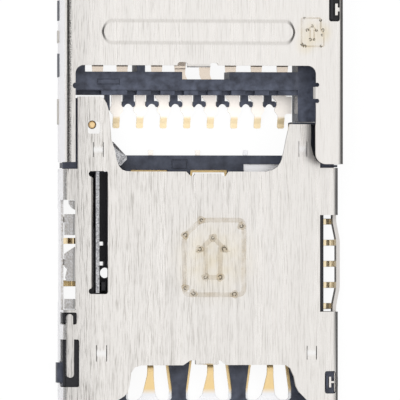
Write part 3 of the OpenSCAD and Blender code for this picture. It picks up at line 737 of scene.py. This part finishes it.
def drafted_block(name, low, high, edge_round, material):
    """Short wall, foot or tab with rounded edges, a little thicker at the bottom than at the top."""
    draft = 0.012 * MM
    foot = [(low[0], low[1]), (high[0], low[1]), (high[0], high[1]), (low[0], high[1])]
    head = [
        (low[0] + draft, low[1] + draft), (high[0] - draft, low[1] + draft),
        (high[0] - draft, high[1] - draft), (low[0] + draft, high[1] - draft),
    ]
    bm = bmesh.new()
    bottom = [bm.verts.new((x, y, low[2])) for x, y in foot]
    top = [bm.verts.new((x, y, high[2])) for x, y in head]
    bm.faces.new(bottom[::-1])
    bm.faces.new(top)
    for i in range(4):
        j = (i + 1) % 4
        bm.faces.new((bottom[i], bottom[j], top[j], top[i]))
    rim = [edge for edge in bm.edges if max(v.co.z for v in edge.verts) > low[2] + draft]
    bmesh.ops.bevel(bm, geom=rim, offset=edge_round, segments=2, affect="EDGES", profile=0.5)
    return finished_piece(name, bm, material)


def bead_flank(name, low, high, crown, width, material):
    """Drawn flank around a bead with round ends: it falls in a soft S from the crown to the sheet.

    It is steeper at the two ends than along the sides, and its two rims lap over the crown and the sheet.
    """
    radius = (high[1] - low[1]) / 2
    y = (high[1] + low[1]) / 2
    turns, steps = 24, 12
    end_share = 0.43
    skin, sunk = 0.0005 * MM, 0.003 * MM
    crown_lap, sheet_lap, depth = 0.11 * MM, 0.06 * MM, 0.01 * MM
    rings = []
    for k in range(-1, steps + 2):
        t = min(max(0, k), steps) / steps
        z = low[2] + (high[2] - low[2]) * (0.5 + 0.5 * math.cos(math.pi * t)) + skin
        if k < 0 or k > steps:
            z -= sunk
        loop = []
        for x, start in ((high[0] - radius, -0.5 * math.pi), (low[0] + radius, 0.5 * math.pi)):
            for i in range(turns + 1):
                angle = start + math.pi * i / turns
                spread = width * (end_share + (1.0 - end_share) * math.sin(angle) ** 4)
                reach = crown + spread * t
                if k < 0:
                    reach -= crown_lap
                elif k > steps:
                    reach += sheet_lap
                loop.append((x + reach * math.cos(angle), y + reach * math.sin(angle), z))
        rings.append(loop)
    rings.append([(p[0], p[1], low[2] - depth) for p in rings[-1]])
    rings.append([(p[0], p[1], low[2] - depth) for p in rings[0]])
    bm = bmesh.new()
    loops = [[bm.verts.new(p) for p in ring] for ring in rings]
    count = len(loops[0])
    for k in range(len(loops)):
        first, second = loops[k], loops[(k + 1) % len(loops)]
        for i in range(count):
            j = (i + 1) % count
            face = bm.faces.new((first[i], first[j], second[j], second[i]))
            face.smooth = k <= steps + 1
            if not face.smooth:
                for edge in face.edges:
                    edge.smooth = False
    return finished_piece(name, bm, material)


def finished_piece(name, bm, material):
    """Turn built mesh into a piece that rides with the socket."""
    bmesh.ops.recalc_face_normals(bm, faces=bm.faces)
    mesh = bpy.data.meshes.new(name)
    bm.to_mesh(mesh)
    bm.free()
    mesh.materials.append(material)
    piece = bpy.data.objects.new(name, mesh)
    bpy.context.scene.collection.objects.link(piece)
    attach(piece, "root")
    return piece


def offset_loop(points, distance):
    """Closed loop moved sideways by a distance."""
    moved = []
    count = len(points)
    for i in range(count):
        before, here, after = Vector(points[i - 1]), Vector(points[i]), Vector(points[(i + 1) % count])
        a = (here - before).normalized()
        b = (after - here).normalized()
        na, nb = Vector((-a.y, a.x)), Vector((-b.y, b.x))
        miter = (na + nb).normalized()
        moved.append(here + miter * distance / max(0.4, miter.dot(na)))
    return moved


def etched_ring(bm, outer, inner, level, film, closed=True):
    """Film between two lines of points, in millimetres, that stands a hair above a face."""
    rings = []
    top, bottom = level + film, level - 2.0 * film
    for ring, z in ((outer, bottom), (outer, top), (inner, top), (inner, bottom)):
        rings.append([bm.verts.new((p[0] * MM, p[1] * MM, z)) for p in ring])
    count = len(outer)
    for k in range(4):
        first, second = rings[k], rings[(k + 1) % 4]
        for i in range(count if closed else count - 1):
            j = (i + 1) % count
            bm.faces.new((first[i], first[j], second[j], second[i]))
    if not closed:
        bm.faces.new([ring[0] for ring in rings])
        bm.faces.new([ring[-1] for ring in rings])


def etched_bands(name, loops, level, width, material):
    """Etched bands along closed loops given in millimetres."""
    bm = bmesh.new()
    for points in loops:
        outer, inner = offset_loop(points, -width / MM / 2), offset_loop(points, width / MM / 2)
        etched_ring(bm, outer, inner, level, 0.001 * MM)
    return finished_piece(name, bm, material)


def burnt_turns(name, spots, level, radius, line, material):
    """Small open rings where the etching beam turned, each open to another side."""
    bm = bmesh.new()
    steps = 14
    for n, (x, y) in enumerate(spots):
        start = 2.3 * n
        size = radius * (0.78 + 0.34 * (0.37 * n % 1.0))
        rings = []
        for reach in (size, size - line):
            rings.append([
                (x + reach * math.cos(start + 5.0 * k / steps) * (1.0 + 0.12 * math.sin(3.1 * n + k)),
                 y + reach * math.sin(start + 5.0 * k / steps))
                for k in range(steps + 1)
            ])
        etched_ring(bm, rings[0], rings[1], level, 0.002 * MM, closed=False)
    return finished_piece(name, bm, material)


def burnt_halos(name, spots, level, radius, material):
    """Soft brown films around the burnt turns."""
    bm = bmesh.new()
    steps = 20
    for n, (x, y) in enumerate(spots):
        rings = []
        for reach in (radius, 0.02):
            rings.append([
                (x + reach * math.cos(2.0 * math.pi * k / steps) * (1.0 + 0.15 * math.sin(2.0 * n + k)),
                 y + reach * math.sin(2.0 * math.pi * k / steps) * (1.0 + 0.15 * math.cos(1.7 * n + k)))
                for k in range(steps)
            ])
        etched_ring(bm, rings[0], rings[1], level, 0.0015 * MM)
    return finished_piece(name, bm, material)


def rounded_loop(corners, radius, steps=5):
    """Closed loop with each corner rounded."""
    loop = []
    count = len(corners)
    for i in range(count):
        here = Vector(corners[i])
        a = (Vector(corners[i - 1]) - here).normalized()
        b = (Vector(corners[(i + 1) % count]) - here).normalized()
        start, end = here + a * radius, here + b * radius
        for k in range(steps + 1):
            s = k / steps
            loop.append(start.lerp(here, s).lerp(here.lerp(end, s), s))
    return loop


def arrow_loop(x, low, high, head, stem):
    """Closed outline of an up arrow, from its middle, its two ends and half the width of head and stem."""
    neck = high - head
    left = [(x, high), (x - head, neck), (x - stem, neck), (x - stem, low)]
    right = [(x + stem, low), (x + stem, neck), (x + head, neck)]
    return left + right


class FinishSheets(bpy.types.Operator):
    """Dress the two folded covers in brushed steel"""

    bl_idname = "card_socket.finish_sheets"
    bl_label = "Finish Sheets"

    def execute(self, context):
        settings = context.scene.socket_sheet
        lower = sheet_material(
            "Lower Sheet", settings, depth=0.6, tints=((0.55, -3.3, 2.3),),
            pocket=1.2, fold=1.19, pitting=1.1, wear=(-5.72, -5.68, 0.02), rub=0.75,
        )
        upper = sheet_material(
            "Upper Sheet", settings, depth=0.32, tints=((4.55, 6.1, 0.95), (4.9, 6.1, 0.6), (4.2, 5.6, 0.55)),
            pocket=-10.0, fold=1.8, pitting=0.2, wear=(-5.8, -5.64, 0.03), rub=0.45,
        )
        dress("lower_shell", lower, settings.edge_round)
        dress("upper_shell", upper, settings.edge_round * 1.6)
        bead_flank(
            "bead_flank", settings.bead_low, settings.bead_high,
            settings.bead_crown, settings.bead_flank, upper,
        )
        tab = tab_material(settings)
        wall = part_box("upper_shell")[0][0]
        for n, (start, end, rise) in enumerate(TAB_SPANS, 1):
            low = (wall - settings.tab_reach, start * MM, 0.0)
            high = (wall + 0.2 * MM, end * MM, rise * MM)
            drafted_block("side_tab_%d" % n, low, high, settings.edge_round, tab)
        return {"FINISHED"}


class FinishMouldings(bpy.types.Operator):
    """Dress the two black mouldings"""

    bl_idname = "card_socket.finish_mouldings"
    bl_label = "Finish Mouldings"

    def execute(self, context):
        settings = context.scene.socket_mould
        # Zones of painted shade: under the lower cover, down in the slot at the front left, and under the
        # upper cover.
        painted_shade = ((-7.55, 0.3, -7.0, 7.0), (-8.8, -7.45, -5.79, -4.6))
        base = mould_material("Base Moulding", settings, painted_shade, 0.72)
        card = mould_material("Card Moulding", settings, ((4.8, 10.0, -7.0, 7.0),), 1.0, polish=(4.0, 4.12))
        dress("base_housing", base, settings.edge_round)
        dress("card_housing", card, settings.edge_round)
        drafted_block(
            "arm_end_wall", settings.end_wall_low, settings.end_wall_high,
            settings.edge_round, base,
        )
        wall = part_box("upper_shell")[0][0]
        for n, (start, end) in enumerate(FOOT_SPANS, 1):
            low = (wall - settings.foot_reach, start * MM, 0.0)
            high = (wall + 0.2 * MM, end * MM, settings.foot_height)
            drafted_block("side_foot_%d" % n, low, high, settings.edge_round, base)
        return {"FINISHED"}


class FinishSprings(bpy.types.Operator):
    """Plate the springs of both levels"""

    bl_idname = "card_socket.finish_springs"
    bl_label = "Finish Springs"

    def execute(self, context):
        settings = context.scene.socket_spring
        pale, silver, gold, deep = settings.nickel, settings.silver, settings.gold, settings.deep_gold
        shade = settings.gold_shade
        tails, gloss = ("X", 5.0, 9.0), (0.12, 0.85)
        card = plated_material(
            "Card Spring", settings, pale, settings.thin_gold, (-FAR, 2.62, 0.06),
            ("Y", 4.0, 9.0), settings.cream, (0.1, 0.9), root=4.76, metal=0.3,
        )
        inner = plated_material(
            "Inner SIM Spring", settings, pale, deep, (-FAR, 0.6, 0.05), tails, gold, gloss
        )
        corner = plated_material(
            "Corner SIM Spring", settings, silver, deep, (-FAR, 0.24, 0.05), tails, gold, gloss
        )
        mouth = plated_material(
            "Mouth SIM Spring", settings, silver, deep, (-8.82, FAR, 0.12), tails, gold, gloss
        )
        post = plated_material(
            "Detect Contact", settings, shade, shade, (-FAR, FAR, 0.1), ("X", -9.0, -5.0), gold, gloss
        )
        for name in CARD_CONTACTS:
            dress(name, card, settings.edge_round)
        for name in SIM_CONTACTS[:2]:
            dress(name, inner, settings.edge_round)
        dress(SIM_CONTACTS[2], corner, settings.edge_round)
        for name in SIM_CONTACTS[3:]:
            dress(name, mouth, settings.edge_round)
        dress("detect_contact", post, settings.edge_round)
        return {"FINISHED"}


class FinishSwitch(bpy.types.Operator):
    """Dress the switch arm"""

    bl_idname = "card_socket.finish_switch"
    bl_label = "Finish Switch Arm"

    def execute(self, context):
        settings = context.scene.socket_spring
        dress("detect_arm", arm_material(settings), settings.edge_round)
        return {"FINISHED"}


class EtchMarks(bpy.types.Operator):
    """Etch a plain direction mark for each card on its cover"""

    bl_idname = "card_socket.etch_marks"
    bl_label = "Etch Marks"

    def execute(self, context):
        settings = context.scene.socket_marks
        for name, level in (("lower_shell", settings.sim_level), ("upper_shell", settings.card_level)):
            low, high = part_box(name)
            if not low[2] < level <= high[2] + 0.001 * MM:
                raise RuntimeError("the mark stands off the %s" % name)
        band = etch_material("Etched Band", settings.tint, thin=0.04, thick=0.3, roughness=0.5)
        halo = etch_material("Burnt Halo", settings.tint, thin=0.08, thick=0.38, roughness=0.5)
        burn = etch_material("Burnt Turn", settings.burn, thin=0.25, thick=0.9, roughness=0.6)
        outline = rounded_loop(
            [(-0.71, -4.78), (1.81, -4.78), (1.81, -1.67), (0.0, -1.67), (-0.71, -2.33)][::-1], 0.26
        )
        arrow = arrow_loop(0.5, -4.06, -2.38, 0.52, 0.31)
        level = settings.sim_level
        etched_bands("sim_mark_bands", [outline, arrow], level, settings.band, band)
        spots = [
            (0.01, -1.67), (1.71, -1.92), (-0.67, -2.29), (-0.67, -4.5), (-0.33, -4.72), (1.41, -4.76),
            (0.5, -2.4), (-0.06, -2.88), (0.98, -2.88), (0.19, -4.05), (0.81, -4.05),
        ]
        burnt_halos("sim_mark_halos", spots, level, radius=0.17, material=halo)
        burnt_turns("sim_mark_turns", spots, level, radius=0.095, line=0.04, material=burn)
        outline = rounded_loop(
            [(4.055, 5.56), (5.0, 5.56), (5.0, 6.12), (4.87, 6.26), (4.87, 6.73), (4.055, 6.73)][::-1], 0.07
        )
        arrow = arrow_loop(4.5, 5.83, 6.42, 0.2, 0.085)
        level = settings.card_level
        etched_bands("card_mark_bands", [outline, arrow], level, settings.band * 0.35, halo)
        spots = [
            (4.18, 6.73), (4.86, 6.65), (4.96, 6.24), (4.93, 6.03), (4.07, 5.65), (4.19, 5.56), (4.88, 5.57),
            (4.5, 6.41), (4.3, 6.23), (4.68, 6.23), (4.42, 5.84), (4.59, 5.84),
        ]
        burnt_turns("card_mark_turns", spots, level, radius=0.07, line=0.042, material=burn)
        return {"FINISHED"}


class BuildStage(bpy.types.Operator):
    """Set up the floor, the light and the camera"""

    bl_idname = "card_socket.build_stage"
    bl_label = "Build Stage"

    def execute(self, context):
        scene = context.scene
        settings = scene.socket_stage
        scene.view_settings.view_transform = "Standard"
        self.make_world(scene, settings)
        self.make_floor(scene, settings)
        self.make_lamp(scene, "Soft Lamp", (-30.0, 20.0, 60.0), 60.0, settings.soft_power)
        self.make_lamp(scene, "Fill Lamp", (45.0, -25.0, 40.0), 40.0, settings.fill_power)
        self.make_camera(scene, settings)
        return {"FINISHED"}

    def make_world(self, scene, settings):
        """A long soft ceiling with dark left and right sides."""
        world = bpy.data.worlds.new("Studio")
        world.use_nodes = True
        tree = world.node_tree
        tree.nodes.clear()
        way = put(tree, "ShaderNodeTexCoord").outputs["Generated"]
        parts = put(tree, "ShaderNodeSeparateXYZ", {"Vector": way})
        ceiling = put(tree, "ShaderNodeMapRange", {
            "Value": calculate(tree, "ABSOLUTE", parts.outputs["X"]), "From Min": 0.42, "From Max": 0.97,
            "To Min": settings.ceiling_level, "To Max": settings.side_level,
        })
        horizon = put(tree, "ShaderNodeMapRange", {
            "Value": parts.outputs["Z"], "From Min": 0.0, "From Max": 0.5, "To Min": 0.75, "To Max": 1.0,
        })
        sky = calculate(tree, "MULTIPLY", ceiling.outputs[0], horizon.outputs[0])
        back = put(tree, "ShaderNodeBackground", {"Strength": sky})
        out = put(tree, "ShaderNodeOutputWorld")
        tree.links.new(back.outputs[0], out.inputs["Surface"])
        scene.world = world

    def make_floor(self, scene, settings):
        """Pale floor: white to the camera but for a soft shadow, and darker to the sides in reflections."""
        mesh = bpy.data.meshes.new("floor")
        reach = 250.0 * MM
        corners = [(-reach, -reach, 0.0), (reach, -reach, 0.0), (reach, reach, 0.0), (-reach, reach, 0.0)]
        mesh.from_pydata(corners, [], [(0, 1, 2, 3)])
        floor = bpy.data.objects.new("floor", mesh)
        floor.location.z = -0.02 * MM
        scene.collection.objects.link(floor)
        material = bpy.data.materials.new("Pale Floor")
        material.use_nodes = True
        tree = material.node_tree
        tree.nodes.clear()
        path = put(tree, "ShaderNodeLightPath").outputs
        place = put(tree, "ShaderNodeTexCoord").outputs["Object"]
        beside = put(tree, "ShaderNodeSeparateXYZ", {"Vector": place}).outputs["X"]
        away = calculate(tree, "ABSOLUTE", calculate(tree, "ADD", beside, 4.0 * MM))
        near = put(tree, "ShaderNodeMapRange", {
            "Value": away, "From Min": 5.0 * MM, "From Max": 9.5 * MM,
            "To Min": 1.0, "To Max": settings.side_level,
        })
        level = calculate(tree, "MAXIMUM", near.outputs[0], path["Is Camera Ray"])
        matte = put(tree, "ShaderNodeBsdfDiffuse", {"Color": (0.9, 0.9, 0.9, 1.0)})
        glow = put(tree, "ShaderNodeEmission", {"Color": (1.0, 1.0, 1.0, 1.0), "Strength": level})
        seen = calculate(tree, "MAXIMUM", path["Is Camera Ray"], path["Is Glossy Ray"])
        seen = calculate(tree, "MAXIMUM", seen, path["Is Transmission Ray"])
        share = calculate(tree, "MULTIPLY", seen, 0.92)
        mixed = put(tree, "ShaderNodeMixShader", {0: share, 1: matte.outputs[0], 2: glow.outputs[0]})
        out = put(tree, "ShaderNodeOutputMaterial")
        tree.links.new(mixed.outputs[0], out.inputs["Surface"])
        mesh.materials.append(material)

    def make_lamp(self, scene, name, place, size, power):
        """One soft square lamp that looks at the socket; its place and size are in millimetres."""
        lamp = bpy.data.lights.new(name, "AREA")
        lamp.size = size * MM
        lamp.energy = power
        holder = bpy.data.objects.new(name, lamp)
        holder.location = Vector(place) * MM
        holder.rotation_euler = (-holder.location).to_track_quat("-Z", "Y").to_euler()
        holder.visible_glossy = False
        scene.collection.objects.link(holder)

    def make_camera(self, scene, settings):
        """Camera above the socket that leans a little to its left side."""
        camera = bpy.data.cameras.new("Camera")
        camera.lens = settings.lens
        camera.sensor_width = 36.0
        camera.clip_start = 1.0 * MM
        camera.clip_end = 2.0
        distance = settings.view_width * settings.lens / 36.0
        back = Vector((-math.sin(settings.tilt), 0.0, math.cos(settings.tilt)))
        up = Vector((0.0, 1.0, 0.0))
        right = up.cross(back)
        place = Vector(settings.aim) + back * distance
        holder = bpy.data.objects.new("Camera", camera)
        holder.matrix_world = Matrix.Translation(place) @ Matrix((right, up, back)).transposed().to_4x4()
        scene.collection.objects.link(holder)
        scene.camera = holder


class CardSocketPanel(bpy.types.Panel):
    """Lists the steps that dress the socket"""

    bl_idname = "VIEW3D_PT_card_socket"
    bl_label = "Card Socket"
    bl_space_type = "VIEW_3D"
    bl_region_type = "UI"
    bl_category = "Card Socket"

    def draw(self, context):
        for step in STEPS:
            self.layout.operator(step.bl_idname)


SETTINGS = {
    "socket_sheet": SheetFinishSettings,
    "socket_mould": MouldFinishSettings,
    "socket_spring": SpringFinishSettings,
    "socket_marks": MarkSettings,
    "socket_stage": StageSettings,
}
STEPS = (FinishSheets, FinishMouldings, FinishSprings, FinishSwitch, EtchMarks, BuildStage)
CLASSES = tuple(SETTINGS.values()) + STEPS + (CardSocketPanel,)


def register():
    """Add the classes and hang the settings on the scene."""
    for item in CLASSES:
        bpy.utils.register_class(item)
    for name, group in SETTINGS.items():
        setattr(bpy.types.Scene, name, bpy.props.PointerProperty(type=group))


def unregister():
    """Take the settings and the classes away again."""
    for name in SETTINGS:
        delattr(bpy.types.Scene, name)
    for item in reversed(CLASSES):
        bpy.utils.unregister_class(item)


def main():
    """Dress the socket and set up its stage."""
    register()
    bpy.ops.card_socket.finish_sheets()
    bpy.ops.card_socket.finish_mouldings()
    bpy.ops.card_socket.finish_springs()
    bpy.ops.card_socket.finish_switch()
    bpy.ops.card_socket.etch_marks()
    bpy.ops.card_socket.build_stage()


if __name__ == "__main__":
    main()
